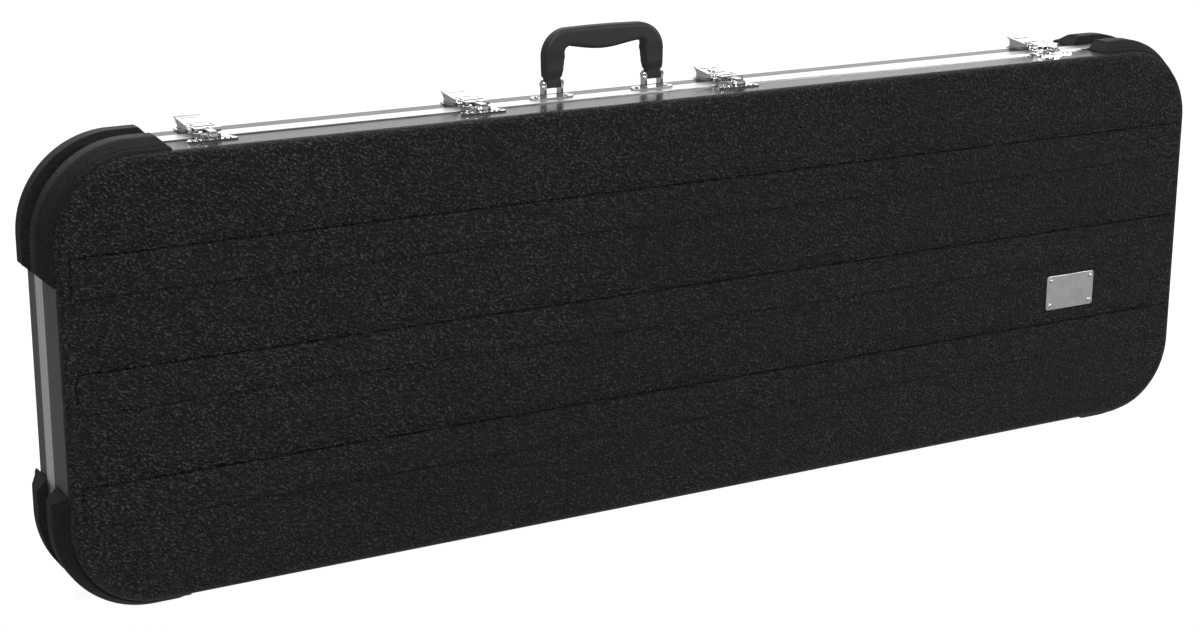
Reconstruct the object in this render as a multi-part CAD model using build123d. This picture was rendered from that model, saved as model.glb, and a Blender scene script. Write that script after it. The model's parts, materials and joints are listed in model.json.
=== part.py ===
from build123d import *
import math
import os

# Rectangular moulded case for a bass guitar. It stands on its hinge side,
# lid towards -Y, latches and handle on top. Sizes are in mm.
# X runs along the case, Z is up, and the floor is z = 0.

# Case
LENGTH = 1230.0            # over the aluminium edge
HEIGHT = 396.0             # over the aluminium edge
CORNER = 76.0              # outline radius of the aluminium edge
LID_DEPTH = 54.0           # lid face to the parting line
BASE_DEPTH = 42.0          # parting line to the back face
WALL = 3.0                 # shell thickness
EDGE_FILLET = 9.5          # rounding between a face and the side walls
BUMPER_RISE = 9.0          # bumper above the aluminium edge
FIT = 0.1                  # gap between pieces fixed to each other
SEAT = 0.05                # gap under a piece that sits on a wall
RUN = 0.05                 # radial play of a pin that turns
PART_GAP = 0.2             # half of the gap at the parting line

# Aluminium edge rings
RING_WIDTH = 10.0
RING_LIP = 1.2
RING_THICK = 6.0
TONGUE = 1.5
TONGUE_OUT = 2.3
GROOVE_FROM = 1.2
GROOVE_TO = 5.0
GROOVE_DEEP = 3.2
LID_WEB = 4.0
BASE_WEB = 5.4
EDGE_ROUND = 0.4

# Raised bands on both faces
BAND_IN = 12.0             # from the ends of the case
BAND_HIGH = 34.0
BAND_PITCH = 99.5
BAND_RISE = 1.3
BAND_ROUND = 0.7
LINE_WIDE = 1.4
LINE_DEEP = 0.9

# Badge
BADGE_IN = 150.0           # from the end of the case
BADGE_DOWN = 49.0          # below the middle of the case
BADGE_LONG = 63.0
BADGE_HIGH = 36.5
BADGE_THICK = 1.2
BADGE_RIVET_IN = 5.0

# Bumpers
BUMPER_LEG = 31.0          # straight run past the corner arc
BUMPER_NEAR = 12.5         # parting line to the bumper's upright side
BUMPER_FAR = 43.6          # parting line to its thin foot
BUMPER_FLAT = 28.5         # parting line to the end of its flat top

# Hinges
HINGE_IN = 215.0           # end hinges, from the ends of the case
HINGE_DROP = 4.5           # pin below the aluminium edge
HINGE_LONG = 64.0
KNUCKLE_R = 3.3
KNUCKLE_END = 16.0
HINGE_PIN_R = 1.6
LEAF_THICK = 1.5
LEAF_TO = 26.0
LEAF_FROM = 0.5
KNUCKLE_GAP = 0.4
HINGE_RIVET_AT = 18.0
HINGE_RIVET_IN = 9.0       # from the end of a leaf
HINGE_PIN_OUT = 0.8        # pin past the last knuckle
HINGE_HEAD = 0.9           # head of the pin, past its radius

# Latches
LATCH_IN = (150.0, 162.0)   # end latches, from the ends of the case
LATCH_MID = (-209.0, 64.0)
LOCK_LATCH = 2             # place in the list of the latch with the key lock
PIVOT = (3.4, 3.2)         # lever pin: from the parting line, above the edge
LINK = (7.6, 5.6)          # hook pin
LATCH_PIN_R = 1.3
PAN_HALF = 9.8
EAR_IN = 8.3
EAR_R = 2.6
CHEEK_IN = 10.4
CHEEK_OUT = 11.8
LEVER_FROM = 10.8
LEVER_TO = 38.0
LEVER_LOW = 5.4
LEVER_RISE = 3.0
LEVER_THICK = 1.4
HOOK_HALF = 7.8
HOOK_R = 2.4
HOOK_WIDE = 12.0
CLAW_HALF = 3.2
CLAW_TIP = 27.0
CLAW_CLEAR = 0.9
PAN_TO = 39.0
KEEPER_HALF = 22.5
KEEPER_FAR = 27.0
KEEPER_NEAR = 10.6
KEEPER_TOP = 0.1
LUG_IN = 4.0
LUG_OUT = 7.4
LOCK_R = 4.0
LOCK_AT = 23.5
LOCK_CAM = (3.0, 7.4, 1.0)
KEY_SLOT = (1.0, 4.6, 1.8)
PAN_SKIRT = 13.4
PAN_FLOOR = 1.0
PAN_RIVETS_AT = (18.0, 32.5)
KEEPER_RIVETS_AT = ((11.6, -23.5), (16.8, -23.5), (11.6, -15.0))
RIDGES_AT = (15.4, 31.2)
PAST = 20.0                # reach of a cutting tool past the piece

# Handle
HANDLE_X = -68.0
MOUNT_APART = 108.0
MOUNT_LONG = 44.0
MOUNT_WIDE = 14.5
HANDLE_BACK = 7.7          # handle pin behind the parting line
HANDLE_UP = 13.2           # handle pin above the edge
EAR_APART = 17.4
EAR_THICK = 2.2
HANDLE_EAR_R = 4.4
FOOT_R = 4.3
HANDLE_PIN_R = 2.4
HANDLE_TOP = 64.8
HANDLE_HALF = 63.5
GRIP_DEEP = 14.0
GRIP_ROUND = 3.6
LEG_DEEP = 12.0
SEAM_X = -32.0             # upright seam across the grip
SEAM_WIDE = 1.2
SEAM_DEEP = 0.7
CORE_THICK = 4.0
CORE_DEEP = 7.0
CORE_TOP = 52.0
CORE_EYE_R = 3.7
MOUNT_THICK = 1.5
MOUNT_RIVET_IN = 6.4
MOUNT_POINT = 5.5

# Rivets: head radius, head height, shank radius, shank length
HINGE_RIVET = (3.2, 1.5, 1.6, 5.7)
PAN_RIVET = (2.6, 1.2, 1.4, 5.2)
KEEPER_RIVET = (1.7, 1.0, 1.2, 4.3)
MOUNT_RIVET = (2.6, 1.4, 1.5, 5.7)
BADGE_RIVET = (2.2, 1.5, 1.0, 4.2)
BORE_LONG = 18.0           # drill for a rivet, centred on its seat

# Lining
PAD = 6.0
BAY_IN = (16.0, 17.0)      # ends of the bays, from the ends of the case
BODY_BAY_LONG = 479.0
BODY_BAY_HALF = 168.0
BODY_BAY_R = 105.0
NECK_HALF = 33.0
HEAD_BAY_LONG = 152.0
HEAD_BAY_HALF = 92.0
HEAD_BAY_R = 34.0
BAY_OVERLAP = 20.0         # neck channel into the bays at its ends
NECK_FLOOR = 22.0
LINER_FACE = 2.0
BOX_X = (62.0, 332.0)
BOX_Z = (34.0, 152.0)
BOX_WALL = 2.5
BOX_LID = 3.0
BOX_PIN_R = 1.2
BOX_BARREL_R = 2.6
REST_X = (262.0, 306.0)
REST_HALF = 24.0

# Placing
WALL_IN = RING_LIP + FIT
LINER_IN = WALL_IN + WALL + 0.3
BAND_LONG = LENGTH - 2 * BAND_IN
BADGE_X = LENGTH / 2 - BADGE_IN
HINGE_XS = (HINGE_IN - LENGTH / 2, 0.0, LENGTH / 2 - HINGE_IN)
LATCH_XS = (LATCH_IN[0] - LENGTH / 2, *LATCH_MID, LENGTH / 2 - LATCH_IN[1])
BODY_FROM = BAY_IN[0] - LENGTH / 2
BODY_TO = BODY_FROM + BODY_BAY_LONG
HEAD_TO = LENGTH / 2 - BAY_IN[1]
HEAD_FROM = HEAD_TO - HEAD_BAY_LONG
MID_Z = BUMPER_RISE + HEIGHT / 2
TOP = BUMPER_RISE + HEIGHT
FRONT_OUT = BADGE_THICK + BADGE_RIVET[1] + SEAT
JOINT_Y = LID_DEPTH + FRONT_OUT - (LID_DEPTH + BASE_DEPTH + FRONT_OUT + BAND_RISE) / 2
FACE_Y = JOINT_Y - LID_DEPTH
BACK_Y = JOINT_Y + BASE_DEPTH


def slab(flat, y0, y1):
    """A flat shape in (x, z), thickened from y0 to y1."""
    plane = Plane((0, y0, 0), x_dir=(1, 0, 0), z_dir=(0, -1, 0))
    return extrude(plane * flat, amount=y0 - y1)


def outline(inset):
    """The case outline, shrunk by inset."""
    flat = RectangleRounded(LENGTH - 2 * inset, HEIGHT - 2 * inset, CORNER - inset)
    return Pos(0, MID_Z) * flat


def band(y0, y1, outer, inner):
    return slab(outline(outer), y0, y1) - slab(outline(inner), y0, y1)


def bar(x0, x1, points):
    """A profile in (y, z), run from x0 to x1."""
    wire = Polyline(*points, close=True)
    plane = Plane((x0, 0, 0), x_dir=(0, 1, 0), z_dir=(1, 0, 0))
    return extrude(plane * make_face(wire), amount=x1 - x0)


def rod(x0, x1, y, z, radius):
    """A round bar along X."""
    plane = Plane((x0, y, z), x_dir=(0, 1, 0), z_dir=(1, 0, 0))
    return extrude(plane * Circle(radius), amount=x1 - x0)


def block(x0, x1, y0, y1, z0, z1):
    solid = Box(x1 - x0, y1 - y0, z1 - z0)
    return Pos((x0 + x1) / 2, (y0 + y1) / 2, (z0 + z1) / 2) * solid


def at(s, h):
    """From the parting line and the top edge to (y, z)."""
    return (JOINT_Y + s, TOP + h)


def rivet(head_r, head_h, shank_r, shank_long):
    """A domed rivet along +Z, its head standing on z = 0."""
    head = Cylinder(head_r, head_h, align=(Align.CENTER, Align.CENTER, Align.MIN))
    head = fillet(head.edges().sort_by(Axis.Z)[-1], head_h * 0.75)
    shank = Cylinder(shank_r, shank_long, align=(Align.CENTER, Align.CENTER, Align.MAX))
    return head + shank


def save(shape, name):
    export_step(shape, f"parts/{name}.step")


def group(pieces):
    return Compound(children=list(pieces))


os.makedirs("parts", exist_ok=True)


# Shells
def shell(y_face, y_end, face_side):
    """One moulded half: face_side is -1 for the lid and +1 for the base."""
    inner_y = y_face - face_side * WALL
    low, high = sorted((y_face, y_end))
    body = slab(outline(WALL_IN), low, high)
    rim = body.edges().group_by(Axis.Y)[0 if face_side < 0 else -1]
    body = fillet(rim, EDGE_FILLET)
    low, high = sorted((inner_y, y_end))
    hollow = slab(outline(WALL_IN + WALL), low, high)
    rim = hollow.edges().group_by(Axis.Y)[0 if face_side < 0 else -1]
    hollow = fillet(rim, EDGE_FILLET - WALL)
    body = body - hollow
    for step in (-1, 0, 1):
        mid = MID_Z + step * BAND_PITCH
        y_out = y_face + face_side * BAND_RISE
        low, high = sorted((y_out, y_face - face_side * WALL / 2))
        rib = slab(Pos(0, mid) * RectangleRounded(BAND_LONG, BAND_HIGH, BAND_ROUND * 3), low, high)
        rim = rib.edges().group_by(Axis.Y)[0 if face_side < 0 else -1]
        body = body + fillet(rim, BAND_ROUND)
        line_z = mid + BAND_HIGH / 2 + LINE_WIDE / 2
        low, high = sorted((y_face + face_side, y_face - face_side * LINE_DEEP))
        half = BAND_LONG / 2 - 2
        body = body - block(-half, half, low, high, line_z - LINE_WIDE / 2, line_z + LINE_WIDE / 2)
    return body


badge_holes = []
for sx in (-1, 1):
    for sz in (-1, 1):
        hole_x = BADGE_X + sx * (BADGE_LONG / 2 - BADGE_RIVET_IN)
        hole_z = MID_Z - BADGE_DOWN + sz * (BADGE_HIGH / 2 - BADGE_RIVET_IN)
        badge_holes.append((hole_x, hole_z))

lid_shell = shell(FACE_Y, JOINT_Y - LID_WEB - FIT, -1)
base_shell = shell(BACK_Y, JOINT_Y + BASE_WEB + FIT, 1)


# Aluminium edge: the lid ring has a tongue, the base ring a groove
def ring(side, web):
    near = JOINT_Y + side * PART_GAP
    far = JOINT_Y + side * RING_WIDTH
    low, high = sorted((near, far))
    solid = slab(outline(0), low, high)
    solid = fillet(solid.edges().group_by(Axis.Y)[0] + solid.edges().group_by(Axis.Y)[-1], EDGE_ROUND)
    solid = solid - slab(outline(RING_THICK), low - 1, high + 1)
    slot = sorted((JOINT_Y + side * web, far + side))
    return solid - band(slot[0], slot[1], RING_LIP, WALL_IN + WALL + FIT)


lid_ring = ring(-1, LID_WEB)
tongue_in = GROOVE_FROM + 0.35
lid_ring = lid_ring + band(JOINT_Y - 1, JOINT_Y + TONGUE_OUT, tongue_in, tongue_in + TONGUE)
base_ring = ring(1, BASE_WEB)
base_ring = base_ring - band(JOINT_Y, JOINT_Y + GROOVE_DEEP, GROOVE_FROM, GROOVE_TO)
save(lid_ring, "lid_valance")


# Corner bumpers: a rail run round each corner of both halves
def bumper_profile(side, z_wall):
    full = BUMPER_RISE + WALL_IN
    shape = [
        (BUMPER_NEAR, SEAT), (BUMPER_NEAR, full - 1.0), (BUMPER_NEAR + 0.3, full - 0.3),
        (BUMPER_NEAR + 1.0, full), (BUMPER_FLAT - 2.5, full), (BUMPER_FLAT, full - 0.4),
        (BUMPER_FLAT + 2.0, full - 1.4), (BUMPER_FAR - 5.6, 4.0), (BUMPER_FAR - 4.7, 2.3),
        (BUMPER_FAR - 3.9, 2.1), (BUMPER_FAR - 3.3, 3.3), (BUMPER_FAR - 1.6, 3.0),
        (BUMPER_FAR - 0.6, 2.0), (BUMPER_FAR, SEAT),
    ]
    points = [(JOINT_Y + side * s, z_wall + n) for s, n in shape]
    return points


def bumper(side):
    """The bumper of the corner at +X and +Z."""
    cx = LENGTH / 2 - CORNER
    cz = MID_Z + HEIGHT / 2 - CORNER
    wall_r = CORNER - WALL_IN
    full = BUMPER_RISE + WALL_IN
    plane = Plane((cx, 0, 0), x_dir=(0, 1, 0), z_dir=(1, 0, 0))
    face = plane * make_face(Polyline(*bumper_profile(side, cz + wall_r), close=True))
    hub = Axis((cx, 0, cz), (0, 1, 0))
    top_leg = extrude(face, amount=BUMPER_LEG, dir=(-1, 0, 0))
    turn = revolve(face, axis=hub, revolution_arc=90)
    side_leg = extrude(face.rotate(hub, 90), amount=BUMPER_LEG, dir=(0, 0, -1))
    solid = top_leg + turn + side_leg
    end_x = cx - BUMPER_LEG
    wall_z = cz + wall_r
    wedge = [(end_x - 1, wall_z - 2), (end_x - 1 - 0.9, wall_z - 1),
             (end_x + 0.9 * full + 2, wall_z + full + 2), (end_x - 9, wall_z + full + 2),
             (end_x - 9, wall_z - 2)]
    cut = slab(make_face(Polyline(*wedge, close=True)), FACE_Y - 1, BACK_Y + 1)
    end_z = cz - BUMPER_LEG
    wall_x = cx + wall_r
    wedge = [(wall_x - 2, end_z - 9), (wall_x - 2, end_z - 1), (wall_x - 1, end_z - 1.9),
             (wall_x + full + 2, end_z + 0.9 * full + 2), (wall_x + full + 2, end_z - 9)]
    cut_two = slab(make_face(Polyline(*wedge, close=True)), FACE_Y - 1, BACK_Y + 1)
    return solid - cut - cut_two


for half, side in (("lid", -1), ("base", 1)):
    piece = bumper(side)
    left = mirror(piece, about=Plane.YZ)
    low_plane = Plane((0, 0, MID_Z), x_dir=(1, 0, 0), z_dir=(0, 0, 1))
    save(piece, f"{half}_bumper_top_right")
    save(left, f"{half}_bumper_top_left")
    save(mirror(piece, about=low_plane), f"{half}_bumper_low_right")
    save(mirror(left, about=low_plane), f"{half}_bumper_low_left")


# Hinges under the case
HINGE_Z = BUMPER_RISE - HINGE_DROP


def leaf(side):
    """A hinge leaf at x = 0, without its knuckles."""
    half = HINGE_LONG / 2
    flat = sorted((JOINT_Y + side * LEAF_FROM, JOINT_Y + side * LEAF_TO))
    fill = sorted((JOINT_Y + side * (RING_WIDTH + FIT), JOINT_Y + side * LEAF_TO))
    low = BUMPER_RISE - LEAF_THICK - SEAT
    plate = block(-half, half, flat[0], flat[1], low, BUMPER_RISE - SEAT)
    return plate + block(-half, half, fill[0], fill[1], low, BUMPER_RISE + WALL_IN - SEAT)


def knuckle(x0, x1, side):
    tube = rod(x0, x1, JOINT_Y, HINGE_Z, KNUCKLE_R)
    reach = sorted((JOINT_Y, JOINT_Y + side * KNUCKLE_R))
    top = BUMPER_RISE - SEAT
    return tube + block(x0, x1, reach[0], reach[1], HINGE_Z, top)


def trim_clear(x0, x1):
    """Room in a leaf for the other leaf's knuckle as it turns."""
    corner = math.hypot(KNUCKLE_R, HINGE_DROP) + 0.5
    return rod(x0 - KNUCKLE_GAP, x1 + KNUCKLE_GAP, JOINT_Y, HINGE_Z, corner)


half = HINGE_LONG / 2
inner = half - KNUCKLE_END
base_leaf = leaf(1) - trim_clear(-inner, inner)
for x0, x1 in ((-half, -inner - KNUCKLE_GAP / 2), (inner + KNUCKLE_GAP / 2, half)):
    base_leaf = base_leaf + knuckle(x0, x1, 1)
lid_leaf = leaf(-1) - trim_clear(-half - 1, -inner) - trim_clear(inner, half + 1)
lid_leaf = lid_leaf + knuckle(-inner + KNUCKLE_GAP / 2, inner - KNUCKLE_GAP / 2, -1)
base_leaf = base_leaf - rod(-half - 1, half + 1, JOINT_Y, HINGE_Z, HINGE_PIN_R + FIT / 4)
lid_leaf = lid_leaf - rod(-half - 1, half + 1, JOINT_Y, HINGE_Z, HINGE_PIN_R + RUN)
pin_end = half + HINGE_PIN_OUT
hinge_pin = rod(-pin_end, pin_end, JOINT_Y, HINGE_Z, HINGE_PIN_R)
for x0, x1 in ((-pin_end - 1, -half - FIT), (half + FIT, pin_end + 1)):
    hinge_pin = hinge_pin + rod(x0, x1, JOINT_Y, HINGE_Z, HINGE_PIN_R + HINGE_HEAD)

rivet_z = BUMPER_RISE - LEAF_THICK - SEAT
rivet_dx = half - HINGE_RIVET_IN
hinge_rivet = Rot(180, 0, 0) * rivet(*HINGE_RIVET)
base_hinge_rivets = []
lid_hinge_rivets = []
low_holes = []
for cx in HINGE_XS:
    for dx in (-rivet_dx, rivet_dx):
        base_hinge_rivets.append(Pos(cx + dx, JOINT_Y + HINGE_RIVET_AT, rivet_z) * hinge_rivet)
        lid_hinge_rivets.append(Pos(cx + dx, JOINT_Y - HINGE_RIVET_AT, rivet_z) * hinge_rivet)
        for side in (-1, 1):
            low_holes.append((cx + dx, JOINT_Y + side * HINGE_RIVET_AT, rivet_z))


def drill(spot, sizes):
    """A clearance hole up and down from the seat of a rivet."""
    return Pos(*spot) * Cylinder(sizes[2] + SEAT, BORE_LONG)


def drilled(solid, bores, cx, reach):
    """The piece near cx, less the bores within reach of it."""
    for bore in bores:
        if abs(bore.center().X - cx) < reach:
            solid = solid - bore
    return solid


hinge_bores = [drill(spot, HINGE_RIVET) for spot in low_holes]

for number, cx in enumerate(HINGE_XS, 1):
    save(drilled(Pos(cx, 0, 0) * base_leaf, hinge_bores, cx, HINGE_LONG), f"hinge_leaf_base_{number}")
    save(drilled(Pos(cx, 0, 0) * lid_leaf, hinge_bores, cx, HINGE_LONG), f"hinge_leaf_lid_{number}")
save(group(Pos(cx, 0, 0) * hinge_pin for cx in HINGE_XS), "hinge_pins")
save(group(base_hinge_rivets), "base_hinge_rivets")
save(group(lid_hinge_rivets), "lid_hinge_rivets")


# Latches, modelled at x = 0 and copied along the top
def disc(x0, x1, point, radius):
    y, z = at(*point)
    return rod(x0, x1, y, z, radius)


def plate(x0, x1, points):
    return bar(x0, x1, [at(*p) for p in points])


def latch_pan():
    low = -WALL_IN + SEAT
    floor = plate(-PAN_HALF, PAN_HALF, [
        (0.8, SEAT), (RING_WIDTH + FIT, SEAT), (RING_WIDTH + FIT, low), (PAN_TO, low),
        (PAN_TO, 0.6), (PAN_TO - 0.8, PAN_FLOOR), (0.8, PAN_FLOOR)])
    skirt = plate(-PAN_SKIRT, PAN_SKIRT, [
        (15.5, low), (PAN_TO - 1.6, low), (PAN_TO - 1.6, 0.2), (15.5, 0.2)])
    pan = floor + skirt
    for sx in (-1, 1):
        x0, x1 = sorted((sx * EAR_IN, sx * PAN_HALF))
        ear = plate(x0, x1, [(0.8, 0.5), (6.0, 0.5), (6.0, PIVOT[1]), (0.8, PIVOT[1])])
        ear = ear + disc(x0, x1, PIVOT, EAR_R)
        wall = plate(x0, x1, [(5.0, 0.5), (37.0, 0.5), (37.0, 4.6), (34.0, 4.9), (12.0, 3.0), (5.0, 2.6)])
        pan = pan + ear + wall
    return pan - disc(-PAST, PAST, PIVOT, LATCH_PIN_R + FIT / 4)


def lever_height(s, lift):
    slope = LEVER_RISE / (LEVER_TO - LEVER_FROM)
    return LEVER_LOW + lift + slope * (s - LEVER_FROM)


def lever():
    top = plate(-CHEEK_OUT, CHEEK_OUT, [
        (LEVER_FROM, LEVER_LOW), (LEVER_TO - 2, lever_height(LEVER_TO - 2, 0)),
        (LEVER_TO + 0.6, lever_height(LEVER_TO, 0.6)), (LEVER_TO + 1.0, lever_height(LEVER_TO, 1.8)),
        (LEVER_TO, lever_height(LEVER_TO, 2.1)), (LEVER_TO - 3, lever_height(LEVER_TO - 3, LEVER_THICK)),
        (LEVER_FROM, LEVER_LOW + LEVER_THICK)])
    solid = top
    for sx in (-1, 1):
        x0, x1 = sorted((sx * CHEEK_IN, sx * CHEEK_OUT))
        cheek = plate(x0, x1, [
            (PIVOT[0], PIVOT[1] - EAR_R), (12.0, 2.2), (34.0, 5.0), (36.4, lever_height(36.4, 0.5)),
            (LEVER_FROM + 0.5, LEVER_LOW + LEVER_THICK), (LINK[0], LINK[1] + HOOK_R),
            (PIVOT[0] - 1.5, PIVOT[1] + 2.1)])
        solid = solid + cheek + disc(x0, x1, PIVOT, EAR_R) + disc(x0, x1, LINK, HOOK_R)
    for offset in RIDGES_AT:
        low = lever_height(offset, LEVER_THICK)
        solid = solid + plate(-8.6, 8.6, [
            (offset - 0.9, low - 0.4), (offset + 0.9, low - 0.4), (offset + 0.5, low + 0.4),
            (offset - 0.5, low + 0.3)])
    solid = solid - disc(-PAST, PAST, PIVOT, LATCH_PIN_R + RUN)
    return solid - disc(-PAST, PAST, LINK, LATCH_PIN_R + FIT / 4)


def hook():
    up = LINK[1] + HOOK_R
    low = LINK[1] + 0.8
    neck_end = LINK[0] - 8.2
    neck = disc(-HOOK_HALF, HOOK_HALF, LINK, HOOK_R)
    neck = neck + plate(-HOOK_HALF, HOOK_HALF, [
        (LINK[0], low), (LINK[0], up), (neck_end - 1, up), (neck_end - 1, low)])
    wide = plate(-HOOK_WIDE, HOOK_WIDE, [
        (neck_end, low), (neck_end, up), (-11.6, up), (-12.2, up - 0.3), (-12.4, up - 0.9),
        (-12.4, 3.9), (-12.1, 3.5), (-11.4, 3.5), (-11.0, 3.9), (-11.0, low)])
    wide = wide - plate(-1.1, 1.1, [(-14, 3), (-10.6, 3), (-10.6, up + 1), (-14, up + 1)])
    claw = plate(-CLAW_HALF, CLAW_HALF, [
        (-10.0, up - 0.6), (-10.0, low), (-21.5, low - 1.0), (-24.2, 4.4), (-24.8, CLAW_CLEAR + 0.4),
        (-24.4, CLAW_CLEAR), (-CLAW_TIP + 0.4, CLAW_CLEAR), (-CLAW_TIP, CLAW_CLEAR + 0.5),
        (-CLAW_TIP, 5.2), (-CLAW_TIP + 0.6, 6.4), (-CLAW_TIP + 2.0, 7.0)])
    ridge = plate(-9.5, 9.5, [(-4.4, up - 0.3), (-3.0, up - 0.3), (-3.3, up + 0.4), (-4.1, up + 0.4)])
    solid = neck + wide + claw + ridge
    return solid - disc(-PAST, PAST, LINK, LATCH_PIN_R + RUN)


def keeper():
    low = -WALL_IN + SEAT
    points = [
        (-KEEPER_HALF, -KEEPER_FAR + 2.5), (-KEEPER_HALF + 2.5, -KEEPER_FAR),
        (KEEPER_HALF - 2.5, -KEEPER_FAR), (KEEPER_HALF, -KEEPER_FAR + 2.5),
        (KEEPER_HALF - 4.5, -KEEPER_NEAR), (-KEEPER_HALF + 4.5, -KEEPER_NEAR)]
    flat = make_face(Polyline(*[(x, JOINT_Y + s) for x, s in points], close=True))
    solid = extrude(Plane((0, 0, TOP + low)) * flat, amount=KEEPER_TOP - low)
    for sx in (-1, 1):
        x0, x1 = sorted((sx * LUG_IN, sx * LUG_OUT))
        solid = solid + plate(x0, x1, [
            (-24.0, 0.0), (-24.0, 2.6), (-22.4, 4.4), (-20.8, 4.8), (-15.5, 4.8), (-13.8, 3.6),
            (-13.5, 0.0)])
    return solid


pan = latch_pan()
lever_solid = lever()
hook_solid = hook()
keeper_solid = keeper()
pin_half = CHEEK_OUT + 0.4


def headed_pin(point):
    shaft = disc(-pin_half, pin_half, point, LATCH_PIN_R)
    for sx in (-1, 1):
        x0, x1 = sorted((sx * (CHEEK_OUT + 0.1), sx * (CHEEK_OUT + 0.9)))
        shaft = shaft + disc(x0, x1, point, LATCH_PIN_R + 0.6)
    return shaft


pivot_pin = headed_pin(PIVOT)
link_pin = headed_pin(LINK)
pan_rivet = rivet(*PAN_RIVET)
keeper_rivet = rivet(*KEEPER_RIVET)
keeper_rivets_at = [(sx * x, s) for sx in (-1, 1) for x, s in KEEPER_RIVETS_AT]
top_bores_base = []
top_bores_lid = []
pan_rivets = []
keeper_rivets = []
for cx in LATCH_XS:
    for s in PAN_RIVETS_AT:
        spot = (cx, JOINT_Y + s, TOP + PAN_FLOOR + SEAT)
        pan_rivets.append(Pos(*spot) * pan_rivet)
        top_bores_base.append(drill(spot, PAN_RIVET))
    for dx, s in keeper_rivets_at:
        spot = (cx + dx, JOINT_Y + s, TOP + KEEPER_TOP + SEAT)
        keeper_rivets.append(Pos(*spot) * keeper_rivet)
        top_bores_lid.append(drill(spot, KEEPER_RIVET))


slope_angle = math.degrees(math.atan(LEVER_RISE / (LEVER_TO - LEVER_FROM)))
lock_y, lock_z = at(LOCK_AT, lever_height(LOCK_AT, LEVER_THICK))
lock_place = Pos(LATCH_XS[LOCK_LATCH], lock_y, lock_z) * Rot(slope_angle, 0, 0)
lock_bore = lock_place * Cylinder(LOCK_R + RUN, 8.0)
lock = Pos(0, 0, -0.5) * Cylinder(LOCK_R, 2.2)
lock_head = Cylinder(LOCK_R + 1.2, 0.9, align=(Align.CENTER, Align.CENTER, Align.MIN))
lock = lock + Pos(0, 0, 0.05) * fillet(lock_head.edges().sort_by(Axis.Z)[-1], 0.4)
lock = lock - Pos(0, 0, 0.9) * Box(*KEY_SLOT)
lock = lock + Pos(0, 0, -LEVER_THICK - 0.1 - LOCK_CAM[2] / 2) * Box(*LOCK_CAM)
save(lock_place * lock, "lock_cylinder")

for number, cx in enumerate(LATCH_XS, 1):
    lever_piece = Pos(cx, 0, 0) * lever_solid
    if number - 1 == LOCK_LATCH:
        lever_piece = lever_piece - lock_bore
    save(drilled(Pos(cx, 0, 0) * pan, top_bores_base, cx, 30), f"latch_base_{number}")
    save(lever_piece, f"latch_lever_{number}")
    save(Pos(cx, 0, 0) * hook_solid, f"latch_hook_{number}")
    save(Pos(cx, 0, 0) * link_pin, f"hook_pin_{number}")
    save(drilled(Pos(cx, 0, 0) * keeper_solid, top_bores_lid, cx, 30), f"keeper_{number}")
save(group(Pos(cx, 0, 0) * pivot_pin for cx in LATCH_XS), "latch_pins")
save(group(pan_rivets), "latch_rivets")
save(group(keeper_rivets), "keeper_rivets")


# Handle
HANDLE_Y, HANDLE_Z = at(HANDLE_BACK, HANDLE_UP)
mount_s = (PART_GAP + 0.3, PART_GAP + 0.3 + MOUNT_WIDE)


def handle_mount():
    half = MOUNT_LONG / 2
    low_s, high_s = mount_s
    mid = (low_s + high_s) / 2
    near = half - MOUNT_POINT
    points = [(-half, mid - 2.2), (-near, low_s), (near, low_s), (half, mid - 2.2),
              (half, mid + 2.2), (near, high_s), (-near, high_s), (-half, mid + 2.2)]
    flat = make_face(Polyline(*[(x, JOINT_Y + s) for x, s in points], close=True))
    solid = extrude(Plane((0, 0, TOP + SEAT)) * flat, amount=MOUNT_THICK)
    deep = extrude(Plane((0, 0, TOP - WALL_IN + SEAT)) * flat, amount=WALL_IN)
    step = JOINT_Y + RING_WIDTH + FIT
    solid = solid + (deep & block(-half - 1, half + 1, step, step + 20, TOP - 5, TOP + 5))
    for sx in (-1, 1):
        mid_x = sx * EAR_APART / 2
        x0, x1 = mid_x - EAR_THICK / 2, mid_x + EAR_THICK / 2
        wide = HANDLE_EAR_R
        ear = bar(x0, x1, [
            (HANDLE_Y - wide - 1, TOP + 0.5), (HANDLE_Y + wide + 1, TOP + 0.5),
            (HANDLE_Y + wide, TOP + 4), (HANDLE_Y + wide, HANDLE_Z), (HANDLE_Y - wide, HANDLE_Z),
            (HANDLE_Y - wide, TOP + 4)])
        solid = solid + ear + rod(x0, x1, HANDLE_Y, HANDLE_Z, HANDLE_EAR_R)
    return solid - rod(-PAST, PAST, HANDLE_Y, HANDLE_Z, HANDLE_PIN_R + FIT / 4)


mount = handle_mount()
mount_rivet = rivet(*MOUNT_RIVET)
mount_rivets = []
mount_mid = JOINT_Y + sum(mount_s) / 2
handle_pins = []
for sx, label in ((-1, "left"), (1, "right")):
    cx = HANDLE_X + sx * MOUNT_APART / 2
    piece = Pos(cx, 0, 0) * mount
    for dx in (MOUNT_RIVET_IN - MOUNT_LONG / 2, MOUNT_LONG / 2 - MOUNT_RIVET_IN):
        spot = (cx + dx, mount_mid, TOP + MOUNT_THICK + 2 * SEAT)
        mount_rivets.append(Pos(*spot) * mount_rivet)
        bore = drill(spot, MOUNT_RIVET)
        top_bores_base.append(bore)
        piece = piece - bore
    save(piece, f"handle_mount_{label}")
    edge = EAR_APART / 2 + EAR_THICK / 2
    pin = rod(cx - edge - 0.4, cx + edge + 0.4, HANDLE_Y, HANDLE_Z, HANDLE_PIN_R)
    pin = pin + rod(cx - edge - 1.4, cx - edge - 0.1, HANDLE_Y, HANDLE_Z, HANDLE_PIN_R + 0.9)
    pin = pin + rod(cx + edge + 0.1, cx + edge + 1.4, HANDLE_Y, HANDLE_Z, HANDLE_PIN_R + 0.9)
    handle_pins.append(pin)
save(group(mount_rivets), "mount_rivets")
save(group(handle_pins), "handle_pins")

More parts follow.
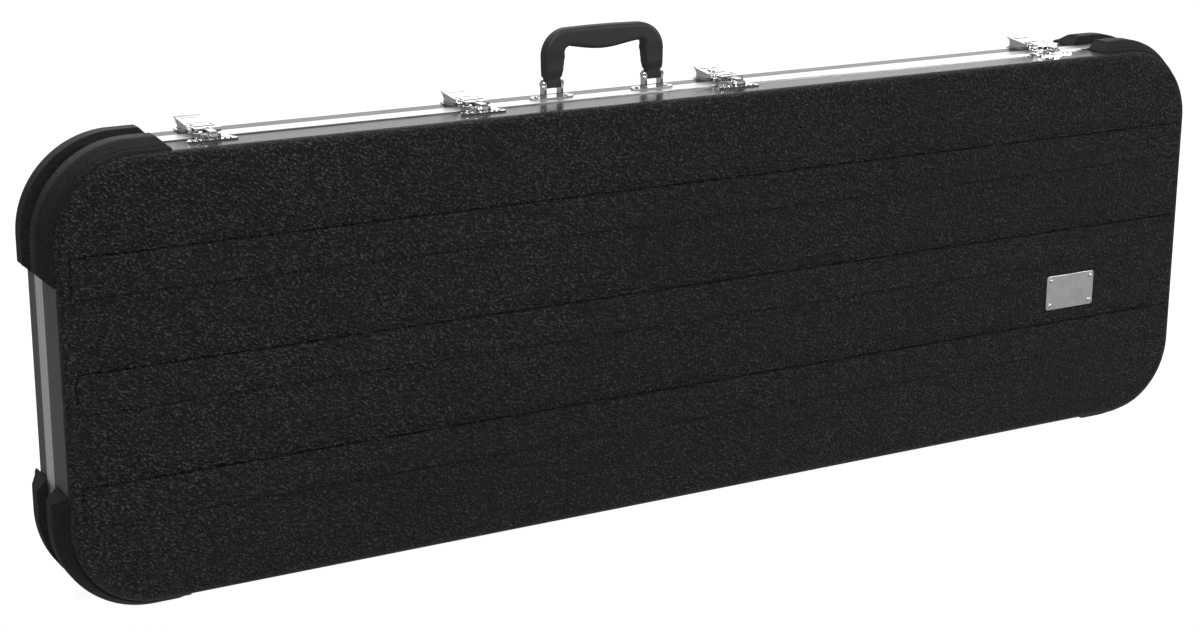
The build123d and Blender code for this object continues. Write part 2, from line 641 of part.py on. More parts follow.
leg_x = MOUNT_APART / 2
boss_half = EAR_APART / 2 - EAR_THICK / 2 - 0.5
ear_top = HANDLE_UP + HANDLE_EAR_R
core_top = TOP + CORE_TOP


def core_solid(grow):
    deep = CORE_DEEP / 2 + grow
    low = HANDLE_Z - 0.1
    top = core_top + grow
    wide = CORE_THICK / 2 + grow
    solid = block(-leg_x - wide, leg_x + wide, HANDLE_Y - deep, HANDLE_Y + deep,
                  core_top - CORE_THICK - grow, top)
    for mid in (-leg_x, leg_x):
        solid = solid + block(mid - wide, mid + wide, HANDLE_Y - deep, HANDLE_Y + deep, low, top)
        solid = solid + rod(mid - wide, mid + wide, HANDLE_Y, HANDLE_Z, CORE_EYE_R + grow)
    return solid


core = core_solid(0)
for sx in (-1, 1):
    core = core - rod(sx * leg_x - PAST, sx * leg_x + PAST, HANDLE_Y, HANDLE_Z, HANDLE_PIN_R + RUN)
save(Pos(HANDLE_X, 0, 0) * core, "handle_core")


def grip_outline():
    """The handle seen from the front: a rounded arch with a waved underside."""
    low = HANDLE_UP
    outer = HANDLE_HALF
    foot_in, foot_out = leg_x - boss_half, leg_x + boss_half
    inner = foot_in - 4.4
    step_low, step_high = ear_top + 0.9, ear_top + 2.4
    out_side = Polyline((-foot_out, low), (-foot_out, step_low), (-outer + 0.4, step_high), (-outer, 40))
    shoulder = ThreePointArc((-outer, 40), (-outer + 8.2, HANDLE_TOP - 7.6), (-outer + 26, HANDLE_TOP - 0.6))
    crown = ThreePointArc((-outer + 26, HANDLE_TOP - 0.6), (0, HANDLE_TOP), (outer - 26, HANDLE_TOP - 0.6))
    far = ThreePointArc((outer - 26, HANDLE_TOP - 0.6), (outer - 8.2, HANDLE_TOP - 7.6), (outer, 40))
    far_side = Polyline((outer, 40), (outer - 0.4, step_high), (foot_out, step_low), (foot_out, low))
    foot_right = Line((foot_out, low), (foot_in, low))
    in_right = Polyline((foot_in, low), (foot_in, step_low), (foot_in - 1.6, step_high), (inner, 43))
    turn_in = ThreePointArc((inner, 43), (inner - 1.1, 46.3), (inner - 4.4, 47.7))
    wave = Spline((inner - 4.4, 47.7), (26, 46.4), (10, 43.8), (-6, 43.0), (-22, 44.7),
                  (-inner + 5.6, 47.3))
    turn_out = ThreePointArc((-inner + 5.6, 47.3), (-inner + 1.5, 45.8), (-inner, 42))
    in_left = Polyline((-inner, 42), (-foot_in + 1.6, step_high), (-foot_in, step_low), (-foot_in, low))
    foot_left = Line((-foot_in, low), (-foot_out, low))
    edges = [out_side, shoulder, crown, far, far_side, foot_right, in_right, turn_in, wave,
             turn_out, in_left, foot_left]
    return make_face(Wire(Curve() + edges))


arch = slab(Pos(0, TOP) * grip_outline(), HANDLE_Y - GRIP_DEEP / 2, HANDLE_Y + GRIP_DEEP / 2)
upper = [edge for edge in arch.edges().group_by(Axis.Y)[0] + arch.edges().group_by(Axis.Y)[-1]
         if edge.bounding_box().min.Z > TOP + 30.0]
arch = fillet(upper, GRIP_ROUND)
side_cut = []
for sy in (-1, 1):
    y_full = HANDLE_Y + sy * (GRIP_DEEP / 2 + 1)
    y_leg = HANDLE_Y + sy * LEG_DEEP / 2
    y_foot = HANDLE_Y + sy * FOOT_R
    side_cut.append(bar(-80, 80, [
        (y_full, TOP), (y_foot, TOP), (y_foot, TOP + ear_top + 1), (y_leg, TOP + ear_top + 8),
        (y_leg, TOP + 33), (HANDLE_Y + sy * GRIP_DEEP / 2, TOP + 46), (y_full, TOP + 46)]))
    seam_y = HANDLE_Y + sy * (GRIP_DEEP / 2 - SEAM_DEEP)
    side_cut.append(block(SEAM_X - SEAM_WIDE / 2, SEAM_X + SEAM_WIDE / 2, *sorted((seam_y, y_full)),
                          TOP + ear_top, TOP + HANDLE_TOP - GRIP_ROUND))
grip = arch
for cut in side_cut:
    grip = grip - cut
for sx in (-1, 1):
    grip = grip + rod(sx * leg_x - boss_half, sx * leg_x + boss_half, HANDLE_Y, HANDLE_Z, FOOT_R)
grip = grip - core_solid(SEAT)
for sx in (-1, 1):
    grip = grip - rod(sx * leg_x - PAST, sx * leg_x + PAST, HANDLE_Y, HANDLE_Z, HANDLE_PIN_R + RUN)
save(Pos(HANDLE_X, 0, 0) * grip, "handle_grip")


# Badge, left bare
badge = slab(Pos(BADGE_X, MID_Z - BADGE_DOWN) * RectangleRounded(BADGE_LONG, BADGE_HIGH, 3.0),
             FACE_Y - BADGE_THICK - SEAT, FACE_Y - SEAT)
badge = fillet(badge.edges().group_by(Axis.Y)[0], 0.4)
badge_rivets = []
for x, z in badge_holes:
    bore = Pos(x, FACE_Y, z) * (Rot(90, 0, 0) * Cylinder(BADGE_RIVET[2] + SEAT, BORE_LONG))
    badge = badge - bore
    lid_shell = lid_shell - bore
    turned = Rot(90, 0, 0) * rivet(*BADGE_RIVET)
    badge_rivets.append(Pos(x, FACE_Y - BADGE_THICK - SEAT, z) * turned)
save(badge, "badge_plate")
save(group(badge_rivets), "badge_rivets")

for bore in top_bores_base:
    base_shell = base_shell - bore
    base_ring = base_ring - bore
for bore in top_bores_lid:
    lid_shell = lid_shell - bore
for bore in hinge_bores:
    if bore.center().Y > JOINT_Y:
        base_shell = base_shell - bore
    else:
        lid_shell = lid_shell - bore
save(base_ring, "base_valance")
save(base_shell, "base_shell")
save(lid_shell, "lid_shell")


# Lining
def rounded_slab(x0, x1, half, radius, y0, y1):
    flat = RectangleRounded(x1 - x0, 2 * half, radius)
    return slab(Pos((x0 + x1) / 2, MID_Z) * flat, y0, y1)


inside_back = BACK_Y - WALL - SEAT
pad_floor = inside_back - PAD
liner_face = JOINT_Y + LINER_FACE
liner = slab(outline(LINER_IN), JOINT_Y + RING_WIDTH + 0.3, inside_back)
liner = fillet(liner.edges().group_by(Axis.Y)[-1], EDGE_FILLET - WALL)
liner = liner + slab(outline(RING_THICK + 0.3), liner_face, JOINT_Y + RING_WIDTH + 0.5)
liner = liner - rounded_slab(BODY_FROM, BODY_TO, BODY_BAY_HALF, BODY_BAY_R, liner_face - 1, pad_floor)
liner = liner - rounded_slab(HEAD_FROM, HEAD_TO, HEAD_BAY_HALF, HEAD_BAY_R, liner_face - 1, pad_floor)
liner = liner - block(BODY_TO - BAY_OVERLAP, HEAD_FROM + BAY_OVERLAP, liner_face - 1,
                      JOINT_Y + NECK_FLOOR, MID_Z - NECK_HALF, MID_Z + NECK_HALF)
box_gap = 0.4
liner = liner - block(BOX_X[0] - box_gap, BOX_X[1] + box_gap, liner_face - 1, pad_floor + 0.01,
                      BOX_Z[0] - box_gap, BOX_Z[1] + box_gap)
save(liner, "base_liner")

lid_liner = slab(outline(LINER_IN), FACE_Y + WALL + SEAT, JOINT_Y - RING_WIDTH - 0.3)
lid_liner = fillet(lid_liner.edges().group_by(Axis.Y)[0], EDGE_FILLET - WALL)
lid_liner = lid_liner - slab(outline(LINER_IN + 5), FACE_Y + WALL + PAD, JOINT_Y)
save(lid_liner, "lid_liner")

rest_low = JOINT_Y + 6
rest = block(REST_X[0], REST_X[1], rest_low, JOINT_Y + NECK_FLOOR - SEAT,
             MID_Z - NECK_HALF + 0.2, MID_Z + NECK_HALF - 0.2)
rest = rest - block(REST_X[0] - 1, REST_X[1] + 1, rest_low - 1, rest_low + 8,
                    MID_Z - REST_HALF, MID_Z + REST_HALF)
save(rest, "neck_rest")

# Accessory box and its lid
box_back = pad_floor - SEAT
box_front = liner_face + 0.6
box = block(*BOX_X, box_front + BOX_LID + 0.6, box_back, *BOX_Z)
box = box - block(BOX_X[0] + BOX_WALL, BOX_X[1] - BOX_WALL, box_front - 1, box_back - BOX_WALL,
                  BOX_Z[0] + BOX_WALL, BOX_Z[1] - BOX_WALL)
pin_y = box_front + BOX_BARREL_R - 0.6
pin_z = BOX_Z[0] + BOX_BARREL_R + 0.2
ends = 14.0
for x0, x1 in ((BOX_X[0], BOX_X[0] + ends), (BOX_X[1] - ends, BOX_X[1])):
    box = box + rod(x0, x1, pin_y, pin_z, BOX_BARREL_R)
    box = box + block(x0, x1, pin_y, box_front + BOX_LID + 3, pin_z - BOX_BARREL_R, pin_z + BOX_BARREL_R)
lid_x0, lid_x1 = BOX_X[0] + ends + 0.4, BOX_X[1] - ends - 0.4
box = box - rod(lid_x0 - 0.2, lid_x1 + 0.2, pin_y, pin_z, BOX_BARREL_R + 0.5)
box = box - rod(BOX_X[0] - 1, BOX_X[1] + 1, pin_y, pin_z, BOX_PIN_R + FIT / 4)
save(box, "accessory_box")
box_lid = block(BOX_X[0], BOX_X[1], box_front, box_front + BOX_LID, pin_z + BOX_BARREL_R + 0.6, BOX_Z[1])
box_lid = fillet(box_lid.edges().group_by(Axis.Y)[0], 0.8)
web_top = pin_z + BOX_BARREL_R + 4
box_lid = box_lid + block(lid_x0, lid_x1, box_front, box_front + BOX_LID, pin_z, web_top)
box_lid = box_lid + rod(lid_x0, lid_x1, pin_y, pin_z, BOX_BARREL_R)
box_lid = box_lid - rod(BOX_X[0] - 1, BOX_X[1] + 1, pin_y, pin_z, BOX_PIN_R + RUN)
save(box_lid, "accessory_lid")
save(rod(BOX_X[0] + 0.5, BOX_X[1] - 0.5, pin_y, pin_z, BOX_PIN_R), "accessory_pin")
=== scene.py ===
import bpy, json, math
from mathutils import Matrix, Vector, noise


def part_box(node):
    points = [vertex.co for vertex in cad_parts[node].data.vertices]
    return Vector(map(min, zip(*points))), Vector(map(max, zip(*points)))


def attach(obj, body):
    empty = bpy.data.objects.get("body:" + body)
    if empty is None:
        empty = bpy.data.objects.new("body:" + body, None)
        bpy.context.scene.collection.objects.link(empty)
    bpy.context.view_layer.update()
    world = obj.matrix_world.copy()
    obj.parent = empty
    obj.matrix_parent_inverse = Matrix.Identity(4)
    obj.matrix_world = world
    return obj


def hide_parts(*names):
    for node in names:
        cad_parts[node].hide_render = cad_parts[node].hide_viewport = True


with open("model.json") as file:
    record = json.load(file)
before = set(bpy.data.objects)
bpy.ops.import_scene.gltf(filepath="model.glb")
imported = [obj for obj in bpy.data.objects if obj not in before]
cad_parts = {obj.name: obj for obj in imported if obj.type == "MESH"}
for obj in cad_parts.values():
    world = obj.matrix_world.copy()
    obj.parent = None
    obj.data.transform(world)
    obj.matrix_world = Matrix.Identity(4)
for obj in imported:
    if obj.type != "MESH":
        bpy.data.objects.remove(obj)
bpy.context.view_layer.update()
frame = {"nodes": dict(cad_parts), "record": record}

NODES = frame["nodes"]
SLOTS = {part["node"]: part["material_slot"] for part in frame["record"]["subparts"]}

# The shells' faces, in metres as everything here
FACE_Y = -0.047275         # front of the lid half
BACK_Y = 0.048725          # back of the base half
GRAIN_DEPTH = 0.0105       # how far the grain runs from a face onto the sides

# The grain of the faces: its lie, then how many swells of each kind go to a metre
GRAIN_TURN = math.radians(-34)
GRAIN_STRETCH = (0.72, 1.0, 1.25)
GRAIN_DRIFT = 230.0
GRAIN_PEBBLES = 430.0
GRAIN_FOLDS = 540
GRAIN_FINE = 1500
GRAIN_PATCHES = 5.0
GRAIN_PUSH = 0.0042        # how far the drift moves the pebbles
GRAIN_RELIEF = 0.0034
GRAIN_LOW, GRAIN_HIGH = -0.05, 0.50        # the heights that the painted shade in the hollows and the painted highlight on the tops run between
# Stops of colour by the grain's height: the dark hollows are painted shade, the pale tops are
# painted highlight
GRAIN_PAINTED_SHADING = ((0.42, 0.0006), (0.70, 0.0080), (0.95, 0.0420))

# Where a ramp over a noise starts and ends
TONE_LOW, TONE_HIGH, TONE_TOP = 0.3, 0.7, 0.75

# Floor
FLOOR_AHEAD = 0.42         # how bright it is in reflections, in front of the case
FLOOR_BEHIND = 0.26        # and behind it
FLOOR_CHANGE = (-0.2, 0.1)                 # where along y the one becomes the other
FLOOR_GLOW = 0.82          # how far it is plain white to the camera
FLOOR_WHITE = 1.10
FLOOR_REACH = 14.0
WELL_X = 0.68              # the well in the floor: half its width, then its two edges
WELL_FRONT = -0.56
WELL_BACK = 0.018

# Lamps: name, place, what they point at, width, height, power
LAMPS = (
    ("key", (-1.6, -1.5, 2.9), (0, 0, 0.2), 0.9, 0.9, 98),
    ("over", (0.3, 0.6, 3.2), (0, 0, 0.2), 3.0, 2.0, 34),
    ("behind", (1.6, 4.2, 2.4), (0, 0, 0.4), 6.0, 4.2, 92),
    ("right", (2.6, -2.2, 1.5), (0.5, 0, 0.2), 1.0, 1.0, 78),
)
WORLD_LIGHT = 0.50         # the white world as light on things
WORLD_MIRROR = 0.17        # and in reflections, the lamps aside

# Camera, from the photograph's own perspective
CAM_AZ = math.radians(-29.910)
CAM_EL = math.radians(15.793)
CAM_ROLL = math.radians(0.232)
CAM_EYE = Vector((-1.1440, -1.8535, 0.7973))
CAM_LENS = 69.84           # millimetres, on a sensor of the next width
CAM_SENSOR = 36.0
CAM_REACH = 60


def add_to_scene(obj):
    bpy.context.scene.collection.objects.link(obj)
    return obj


def grey(v, tint=0.0):
    """A grey of that level, a little bluer by the tint."""
    return (v, v, v * (1 + tint))


# Material helpers
class Net:
    """A small builder of shader nodes."""

    def __init__(self, name):
        self.mat = bpy.data.materials.new(name)
        self.mat.use_nodes = True
        self.tree = self.mat.node_tree
        self.tree.nodes.clear()
        self.out = self.tree.nodes.new("ShaderNodeOutputMaterial")
        self.bsdf = self.tree.nodes.new("ShaderNodeBsdfPrincipled")
        self.link(self.bsdf.outputs[0], self.out.inputs[0])
        self.coord = self.tree.nodes.new("ShaderNodeTexCoord").outputs["Object"]

    def link(self, a, b):
        self.tree.links.new(a, b)

    def put(self, socket, value):
        if isinstance(value, bpy.types.NodeSocket):
            self.link(value, socket)
        else:
            socket.default_value = value

    def set(self, **values):
        for key, value in values.items():
            self.put(self.bsdf.inputs[key.replace("_", " ")], value)

    def node(self, kind, **inputs):
        made = self.tree.nodes.new(kind)
        for key, value in inputs.items():
            self.put(made.inputs[key.replace("_", " ")], value)
        return made

    def mapped(self, scale=(1, 1, 1), turn=(0, 0, 0), vector=None):
        made = self.node("ShaderNodeMapping", Vector=vector or self.coord,
                         Scale=scale, Rotation=turn)
        return made.outputs[0]

    def noise(self, scale, detail=3.0, rough=0.55, vector=None, distort=0.0):
        made = self.node("ShaderNodeTexNoise", Vector=vector or self.coord, Scale=scale,
                         Detail=detail, Roughness=rough, Distortion=distort)
        return made.outputs[0]

    def voronoi(self, scale, vector=None, smooth=None):
        made = self.tree.nodes.new("ShaderNodeTexVoronoi")
        made.feature = "F1" if smooth is None else "SMOOTH_F1"
        self.put(made.inputs["Vector"], vector or self.coord)
        made.inputs["Scale"].default_value = scale
        if smooth is not None:
            made.inputs["Smoothness"].default_value = smooth
        return made.outputs["Distance"]

    def math(self, what, a, b=0.0, clamp=False):
        made = self.tree.nodes.new("ShaderNodeMath")
        made.operation = what
        made.use_clamp = clamp
        self.put(made.inputs[0], a)
        self.put(made.inputs[1], b)
        return made.outputs[0]

    def blend(self, a, b, share_b, share_a=None):
        """The sum of two values, each times its share."""
        if share_a is not None:
            a = self.math("MULTIPLY", a, share_a)
        return self.math("ADD", a, self.math("MULTIPLY", b, share_b))

    def moved(self, vector, push, amount):
        """The vector with the push, times the amount, added to it."""
        scaled = self.tree.nodes.new("ShaderNodeVectorMath")
        scaled.operation = "SCALE"
        self.link(push, scaled.inputs[0])
        scaled.inputs["Scale"].default_value = amount
        total = self.tree.nodes.new("ShaderNodeVectorMath")
        total.operation = "ADD"
        self.link(vector, total.inputs[0])
        self.link(scaled.outputs[0], total.inputs[1])
        return total.outputs[0]

    def ramp(self, value, stops):
        made = self.tree.nodes.new("ShaderNodeValToRGB")
        self.link(value, made.inputs[0])
        line = made.color_ramp
        while len(line.elements) < len(stops):
            line.elements.new(0.5)
        for element, (place, colour) in zip(line.elements, stops):
            element.position = place
            element.color = (*colour, 1.0)
        return made.outputs[0]

    def greys(self, value, dark, light, tint=0.0, last=TONE_HIGH):
        return self.ramp(value, [(TONE_LOW, grey(dark, tint)), (last, grey(light, tint))])

    def remap(self, value, low, high):
        """From 0 to 1 onto low to high."""
        return self.node("ShaderNodeMapRange", Value=value, To_Min=low, To_Max=high).outputs[0]

    def remap_from(self, value, low, high):
        """From low to high onto 0 to 1."""
        made = self.node("ShaderNodeMapRange", Value=value, From_Min=low, From_Max=high)
        return made.outputs[0]

    def bump(self, height, strength, distance):
        made = self.node("ShaderNodeBump", Height=height, Strength=strength, Distance=distance)
        return made.outputs[0]


# Materials
def leather_grain_painted_shade():
    net = Net("shell_grain_painted_shade")
    slanted = net.mapped(GRAIN_STRETCH, vector=net.mapped(turn=(0, GRAIN_TURN, 0)))
    drift = net.node("ShaderNodeTexNoise", Vector=slanted, Scale=GRAIN_DRIFT, Detail=2.0)
    moved = net.moved(slanted, drift.outputs[1], GRAIN_PUSH)
    pebble = net.voronoi(GRAIN_PEBBLES, moved, smooth=0.5)
    fold = net.noise(GRAIN_FOLDS, rough=0.6, vector=slanted, distort=0.8)
    fine = net.noise(GRAIN_FINE, rough=0.6)
    height = net.blend(pebble, fold, share_b=1.1, share_a=-1.0)
    height = net.blend(height, fine, share_b=0.10)
    patch = net.noise(GRAIN_PATCHES, rough=0.5)
    # The colour follows the height, as painted shade in the hollows and painted highlight on
    # the tops, with random patches of tone over it
    tone = net.blend(net.remap_from(height, GRAIN_LOW, GRAIN_HIGH), patch, share_b=0.25)
    colour = net.ramp(tone, [(place, grey(level, 0.02)) for place, level in GRAIN_PAINTED_SHADING])
    net.set(Base_Color=colour, Roughness=net.remap(fold, 0.34, 0.46), Specular_IOR_Level=0.24)
    net.set(Normal=net.bump(height, 1.0, GRAIN_RELIEF))
    return net.mat


def smooth_side():
    net = Net("shell_side")
    orange = net.noise(700, detail=2.0, rough=0.5)
    cloud = net.noise(9.0, detail=4.0)
    scuff = net.noise(60, detail=5.0, rough=0.7, vector=net.mapped((0.4, 3.0, 3.0)))
    net.set(Base_Color=net.greys(cloud, 0.012, 0.017, tint=0.03))
    net.set(Roughness=net.remap(scuff, 0.18, 0.27), Specular_IOR_Level=0.20)
    net.set(Normal=net.bump(orange, 0.06, 0.0004))
    return net.mat


def bumper_plastic():
    net = Net("bumper_grain")
    grain = net.noise(620, rough=0.65)
    pores = net.voronoi(520.0)
    cloud = net.noise(14.0, rough=0.5)
    net.set(Base_Color=net.greys(cloud, 0.0040, 0.0062, tint=0.02))
    net.set(Roughness=net.remap(grain, 0.42, 0.56), Specular_IOR_Level=0.17)
    net.set(Normal=net.bump(net.blend(grain, pores, share_b=-0.5), 0.9, 0.0018))
    return net.mat


def aluminium():
    net = Net("edge_satin")
    lines = net.noise(40, detail=4.0, rough=0.6, vector=net.mapped((1.0, 90.0, 1.0)))
    marks = net.noise(220, detail=4.0, rough=0.7, vector=net.mapped((0.3, 3.0, 3.0)))
    net.set(Base_Color=net.greys(marks, 0.76, 0.86, tint=0.01))
    net.set(Metallic=1.0, Roughness=net.remap(lines, 0.24, 0.36))
    net.set(Normal=net.bump(lines, 0.05, 0.0002))
    return net.mat


def chrome(name, low=0.04, high=0.10, shade=0.80):
    """Polished metal of that shade, its roughness between low and high."""
    net = Net(name)
    haze = net.noise(120, detail=4.0, rough=0.6)
    net.set(Base_Color=net.greys(haze, shade, shade + 0.08, tint=0.015, last=TONE_TOP))
    net.set(Metallic=1.0, Roughness=net.remap(haze, low, high))
    net.set(Normal=net.bump(net.noise(300, detail=2.0), 0.03, 0.0003))
    return net.mat


def brushed(name, dark, light):
    net = Net(name)
    lines = net.noise(60, detail=4.0, rough=0.7, vector=net.mapped((1.0, 30.0, 34.0)))
    blot = net.noise(90, rough=0.5)
    net.set(Base_Color=net.greys(blot, dark, light, tint=0.01))
    net.set(Metallic=1.0, Roughness=net.remap(lines, 0.28, 0.46))
    net.set(Normal=net.bump(lines, 0.12, 0.0002))
    return net.mat


def handle_plastic():
    net = Net("handle_moulded")
    grain = net.noise(1600, rough=0.6)
    cloud = net.noise(40.0, rough=0.5)
    net.set(Base_Color=net.greys(cloud, 0.0115, 0.0155, tint=0.03))
    net.set(Roughness=net.remap(grain, 0.46, 0.60), Specular_IOR_Level=0.30)
    net.set(Normal=net.bump(grain, 0.18, 0.0004))
    return net.mat


def plush(name, dark, light):
    """Short pile, with paler streaks where it was brushed the other way."""
    net = Net(name)
    pile = net.noise(1500, detail=4.0, rough=0.75, vector=net.mapped((1.0, 1.0, 0.55)))
    streaks = net.noise(34, detail=5.0, rough=0.62, vector=net.mapped((1.0, 1.0, 0.5)),
                        distort=1.2)
    tone = net.blend(pile, streaks, share_b=0.55, share_a=0.45)
    palest = tuple(c * 1.6 for c in light)
    colour = net.ramp(tone, [(0.3, dark), (0.52, light), (0.72, palest)])
    net.set(Base_Color=colour, Roughness=0.95, Specular_IOR_Level=0.15)
    net.set(Sheen_Weight=0.55, Sheen_Roughness=0.4, Sheen_Tint=(0.5, 0.5, 0.55, 1))
    net.set(Normal=net.bump(net.blend(pile, streaks, share_b=0.8), 0.7, 0.0012))
    return net.mat


SHELL_GRAIN_PAINTED_SHADE = leather_grain_painted_shade()
SHELL_SIDE = smooth_side()
MATS = {                   # by the record's slot
    "bumper_plastic": bumper_plastic(),
    "edge_aluminium": aluminium(),
    "latch_chrome": chrome("latch_chrome"),
    "rivet_steel": chrome("rivet_steel", 0.12, 0.24, 0.66),
    "hinge_steel": brushed("hinge_steel", 0.50, 0.62),
    "badge_steel": brushed("badge_satin", 0.52, 0.62),
    "handle_plastic": handle_plastic(),
    "plush": plush("plush_lining", (0.012, 0.012, 0.014), (0.030, 0.030, 0.034)),
}


def paint(obj, mat):
    obj.data.materials.clear()
    obj.data.materials.append(mat)


def paint_shell(obj, face_y):
    """Grain on the face and its rounding, plain plastic on the sides and inside."""
    paint(obj, SHELL_SIDE)
    obj.data.materials.append(SHELL_GRAIN_PAINTED_SHADE)
    for poly in obj.data.polygons:
        close = abs(poly.center.y - face_y) < GRAIN_DEPTH
        poly.material_index = 1 if close else 0


for name, obj in NODES.items():
    slot = SLOTS[name]
    if slot == "abs_shell":
        paint_shell(obj, FACE_Y if name.startswith("lid") else BACK_Y)
    else:
        paint(obj, MATS[slot])


# Soft and moulded pieces, rebuilt from the shape of the node they stand for
def fresh(name, mesh, body, mat):
    obj = add_to_scene(bpy.data.objects.new(name, mesh))
    paint(obj, mat)
    for poly in mesh.polygons:
        poly.use_smooth = True
    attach(obj, body)
    return obj


def remade(node, voxel, smooth_steps):
    """A new mesh of even small faces in the node's shape, its edges rounded."""
    work = add_to_scene(bpy.data.objects.new(node + "_work", NODES[node].data.copy()))
    remesh = work.modifiers.new("remesh", "REMESH")
    remesh.mode = "VOXEL"
    remesh.voxel_size = voxel
    ease = work.modifiers.new("ease", "SMOOTH")
    ease.factor = 0.6
    ease.iterations = smooth_steps
    graph = bpy.context.evaluated_depsgraph_get()
    mesh = bpy.data.meshes.new_from_object(work.evaluated_get(graph))
    bpy.data.objects.remove(work)
    return mesh


def puff(mesh, amount, scale, seed):
    """Small uneven swells, as a glued cloth over foam has."""
    normals = [vert.normal.copy() for vert in mesh.vertices]
    for vert, normal in zip(mesh.vertices, normals):
        x, y, z = (c * scale for c in vert.co)
        swell = noise.noise(Vector((x + seed, y, z)))
        vert.co += normal * (swell * amount - amount)


def crown_flap(mesh):
    """The front of the box's lid, padded so that it stands out in the middle."""
    skin, hinge_strip, crown_height = 0.0012, 0.008, 0.0022
    low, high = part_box("accessory_lid")
    centre = ((low[0] + high[0]) / 2, (low[2] + high[2]) / 2)
    for vert in mesh.vertices:
        u = (vert.co.x - centre[0]) / ((high[0] - low[0]) / 2)
        v = (vert.co.z - centre[1]) / ((high[2] - low[2]) / 2)
        if vert.co.y < low[1] + skin and vert.co.z > low[2] + hinge_strip:
            crown = max(0.0, 1 - u ** 6) * max(0.0, 1 - abs(v) ** 4)
            vert.co.y -= crown_height * crown


base_mesh = remade("base_liner", voxel=0.0040, smooth_steps=7)
puff(base_mesh, amount=0.0007, scale=28.0, seed=3.1)
base_lining = fresh("base_lining", base_mesh, "base", MATS["plush"])
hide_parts("base_liner")

lid_mesh = remade("lid_liner", voxel=0.0040, smooth_steps=6)
puff(lid_mesh, amount=0.0006, scale=24.0, seed=9.7)
lid_lining = fresh("lid_lining", lid_mesh, "lid", MATS["plush"])
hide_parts("lid_liner")

rest_mesh = remade("neck_rest", voxel=0.0016, smooth_steps=6)
puff(rest_mesh, amount=0.0003, scale=60.0, seed=1.3)
rest = fresh("neck_rest_pad", rest_mesh, "base", MATS["plush"])
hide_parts("neck_rest")

flap_mesh = remade("accessory_lid", voxel=0.0011, smooth_steps=3)
crown_flap(flap_mesh)
flap = fresh("accessory_flap", flap_mesh, "box_lid", MATS["plush"])
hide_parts("accessory_lid")

grip_mesh = remade("handle_grip", voxel=0.0008, smooth_steps=3)
grip = fresh("handle_moulding", grip_mesh, "handle", MATS["handle_plastic"])
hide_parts("handle_grip")


def floor_material():
    """White to the camera, a dimmer white in reflections, and pale paint to other light."""
    net = Net("floor_pale")
    tree = net.tree
    speck = net.noise(3.0, detail=2.0, rough=0.5)
    net.set(Base_Color=net.greys(speck, 0.93, 0.95), Roughness=0.9)
    glow = tree.nodes.new("ShaderNodeEmission")
    mix = tree.nodes.new("ShaderNodeMixShader")
    rays = tree.nodes.new("ShaderNodeLightPath")
    split = net.node("ShaderNodeSeparateXYZ", Vector=net.coord)
    ahead = net.node("ShaderNodeMapRange", Value=split.outputs["Y"],
                     From_Min=FLOOR_CHANGE[0], From_Max=FLOOR_CHANGE[1],
                     To_Min=FLOOR_AHEAD, To_Max=FLOOR_BEHIND)
    drop = net.math("SUBTRACT", ahead.outputs[0], FLOOR_WHITE)
    glossy = net.math("MULTIPLY", rays.outputs["Is Glossy Ray"], drop)
    net.link(net.math("ADD", glossy, FLOOR_WHITE), glow.inputs["Strength"])
    share = net.math("MULTIPLY", rays.outputs["Is Camera Ray"], FLOOR_GLOW)
    net.link(net.math("ADD", share, rays.outputs["Is Glossy Ray"], clamp=True), mix.inputs[0])
    net.link(net.bsdf.outputs[0], mix.inputs[1])
    net.link(glow.outputs[0], mix.inputs[2])
    net.link(mix.outputs[0], net.out.inputs[0])
    return net.mat


# Floor: a well in front of the case and under its lid half, where the lid swings down
strips = [
    (-FLOOR_REACH, FLOOR_REACH, WELL_BACK, FLOOR_REACH),
    (-FLOOR_REACH, FLOOR_REACH, -FLOOR_REACH, WELL_FRONT),
    (-FLOOR_REACH, -WELL_X, WELL_FRONT, WELL_BACK),
    (WELL_X, FLOOR_REACH, WELL_FRONT, WELL_BACK),
]
floor_mesh = bpy.data.meshes.new("floor")
verts, faces = [], []
for x0, x1, y0, y1 in strips:
    start = len(verts)
    verts += [(x0, y0, 0), (x1, y0, 0), (x1, y1, 0), (x0, y1, 0)]
    faces.append((start, start + 1, start + 2, start + 3))
floor_mesh.from_pydata(verts, [], faces)
floor = add_to_scene(bpy.data.objects.new("floor", floor_mesh))
floor_mesh.materials.append(floor_material())


# Light
def area(name, place, target, width, height, power):
    data = bpy.data.lights.new(name, "AREA")
    data.shape = "RECTANGLE"
    data.size, data.size_y, data.energy = width, height, power
    lamp = add_to_scene(bpy.data.objects.new(name, data))
    lamp.location = place
    aim = Vector(target) - Vector(place)
    lamp.rotation_euler = aim.to_track_quat("-Z", "Y").to_euler()
    lamp.visible_camera = False


for row in LAMPS:
    area(*row)

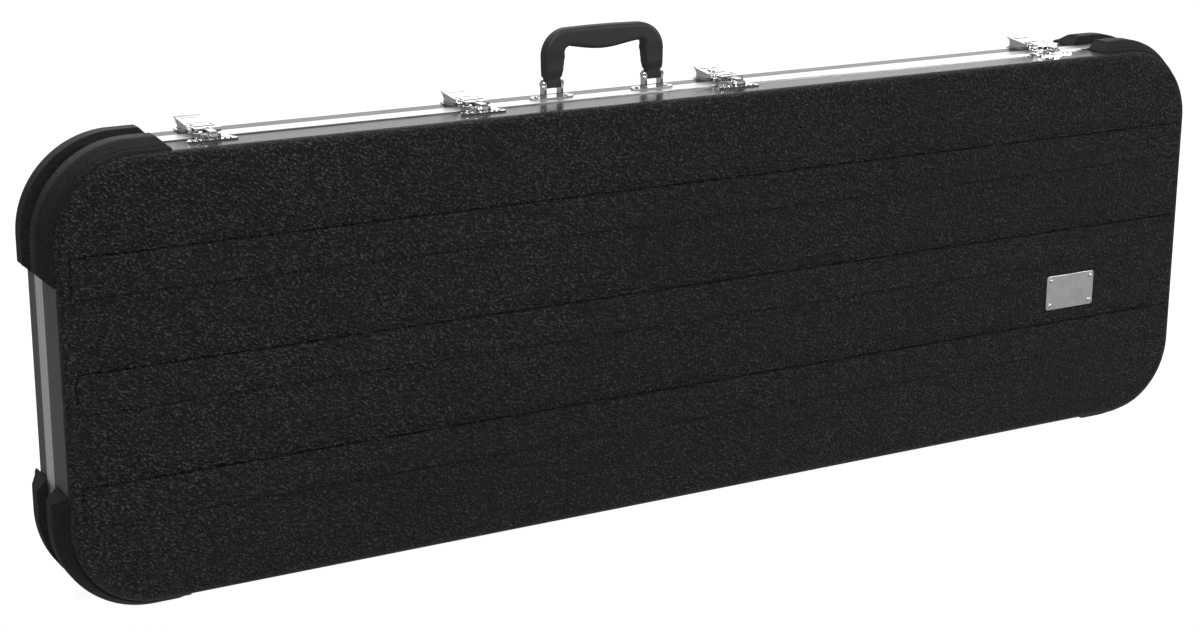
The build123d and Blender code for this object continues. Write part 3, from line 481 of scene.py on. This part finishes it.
world = bpy.data.worlds.new("studio")
bpy.context.scene.world = world
world.use_nodes = True
wt = world.node_tree
wt.nodes.clear()
w_out = wt.nodes.new("ShaderNodeOutputWorld")
w_back = wt.nodes.new("ShaderNodeBackground")
w_rays = wt.nodes.new("ShaderNodeLightPath")


def world_math(what, a, b):
    made = wt.nodes.new("ShaderNodeMath")
    made.operation = what
    for socket, value in zip(made.inputs, (a, b)):
        if isinstance(value, float):
            socket.default_value = value
        else:
            wt.links.new(value, socket)
    return made.outputs[0]


# Plain white to the camera; in reflections as bright as the floor below the horizon
seen = world_math("ADD", w_rays.outputs["Is Camera Ray"], w_rays.outputs["Is Transmission Ray"])
lift = world_math("MULTIPLY", seen, 1.0 - WORLD_LIGHT)
w_way = wt.nodes.new("ShaderNodeSeparateXYZ")
wt.links.new(wt.nodes.new("ShaderNodeTexCoord").outputs["Generated"], w_way.inputs[0])
below = world_math("LESS_THAN", w_way.outputs["Z"], 0.0)
mirror = world_math("MULTIPLY", below, FLOOR_AHEAD - WORLD_MIRROR)
mirror = world_math("ADD", mirror, WORLD_MIRROR - WORLD_LIGHT)
sink = world_math("MULTIPLY", w_rays.outputs["Is Glossy Ray"], mirror)
level = world_math("ADD", world_math("ADD", lift, sink), WORLD_LIGHT)
w_back.inputs["Color"].default_value = (1, 1, 1, 1)
wt.links.new(level, w_back.inputs["Strength"])
wt.links.new(w_back.outputs[0], w_out.inputs[0])
bpy.context.scene.view_settings.view_transform = "Standard"

# Camera: its axes from the angles, then turned by the roll
level_y = math.cos(CAM_EL)
back = Vector((math.sin(CAM_AZ) * level_y, -math.cos(CAM_AZ) * level_y, math.sin(CAM_EL)))
right = (-back).cross(Vector((0, 0, 1))).normalized()
up = right.cross(-back)
turned_right = right * math.cos(CAM_ROLL) + up * math.sin(CAM_ROLL)
turned_up = up * math.cos(CAM_ROLL) - right * math.sin(CAM_ROLL)
cam_data = bpy.data.cameras.new("camera")
cam_data.sensor_width = CAM_SENSOR
cam_data.lens = CAM_LENS
cam_data.clip_end = CAM_REACH
cam = add_to_scene(bpy.data.objects.new("camera", cam_data))
pose = Matrix((turned_right, turned_up, back)).transposed().to_4x4()
cam.matrix_world = Matrix.Translation(CAM_EYE) @ pose
bpy.context.scene.camera = cam
